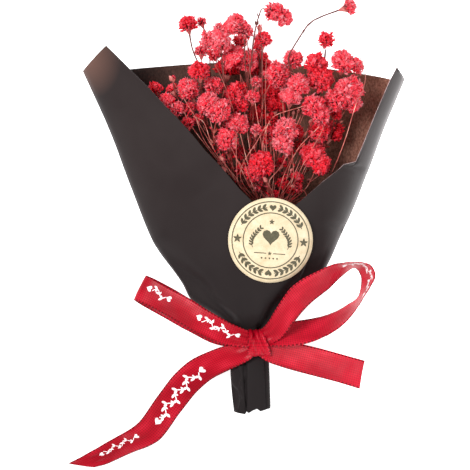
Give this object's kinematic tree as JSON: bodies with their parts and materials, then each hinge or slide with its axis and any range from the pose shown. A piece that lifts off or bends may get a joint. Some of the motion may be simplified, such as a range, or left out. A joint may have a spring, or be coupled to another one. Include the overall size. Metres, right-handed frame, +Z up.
{
  "type": "dried flower bouquet",
  "caption": "Small bouquet of red dried gypsophila in a black paper cone with a round label, tied at the neck with a satin bow.",
  "frame": {"origin": "on the resting plane, in the middle of the flat back of the cone, level with the middle of the label", "axes": "+Z up from the resting plane, +Y from the tied handle to the flowers, +X to the right as it is looked down on"},
  "size_m": [0.1413, 0.1959, 0.0372],
  "materials": {
    "paper": "black paper with a soft sheen, brown inside",
    "label": "matte kraft label with printed rings",
    "satin": "red satin ribbon with woven edges",
    "stem": "dry stem, pinkish brown",
    "petal_red": "dry dyed petals",
    "petal_light": "dry dyed petals, paler",
    "petal_deep": "dry dyed petals, darker"
  },
  "bodies": {
    "root": {"wrap": "paper", "sticker": "label", "ribbon": "satin", "spray_1": "stem", "spray_2": "stem", "spray_3": "stem", "spray_4": "stem", "spray_5": "stem", "spray_6": "stem", "spray_7": "stem", "spray_8": "stem", "bloom_01": "petal_light", "bloom_02": "petal_light", "bloom_03": "petal_red", "bloom_04": "petal_red", "bloom_05": "petal_red", "bloom_06": "petal_light", "bloom_07": "petal_light", "bloom_08": "petal_light", "bloom_09": "petal_light", "bloom_10": "petal_red", "bloom_11": "petal_deep", "bloom_12": "petal_light", "bloom_13": "petal_deep", "bloom_14": "petal_red", "bloom_15": "petal_red", "bloom_16": "petal_light", "bloom_17": "petal_light", "bloom_18": "petal_red", "bloom_19": "petal_red", "bloom_20": "petal_red", "bloom_21": "petal_light", "bloom_22": "petal_red", "bloom_23": "petal_light", "bloom_24": "petal_red", "bloom_25": "petal_light", "bloom_26": "petal_light", "bloom_27": "petal_light", "bloom_28": "petal_deep", "bloom_29": "petal_light", "bloom_30": "petal_light", "bloom_31": "petal_red", "bloom_32": "petal_light", "bloom_33": "petal_light", "bloom_34": "petal_red", "bloom_35": "petal_light", "bloom_36": "petal_red", "bloom_37": "petal_light", "bloom_38": "petal_light", "bloom_39": "petal_red", "bloom_40": "petal_light", "bloom_41": "petal_red", "bloom_42": "petal_red", "bloom_43": "petal_red", "bloom_44": "petal_deep", "bloom_45": "petal_light", "bloom_46": "petal_red", "bloom_47": "petal_red", "bloom_48": "petal_light", "bloom_49": "petal_deep"}
  },
  "joints": []
}
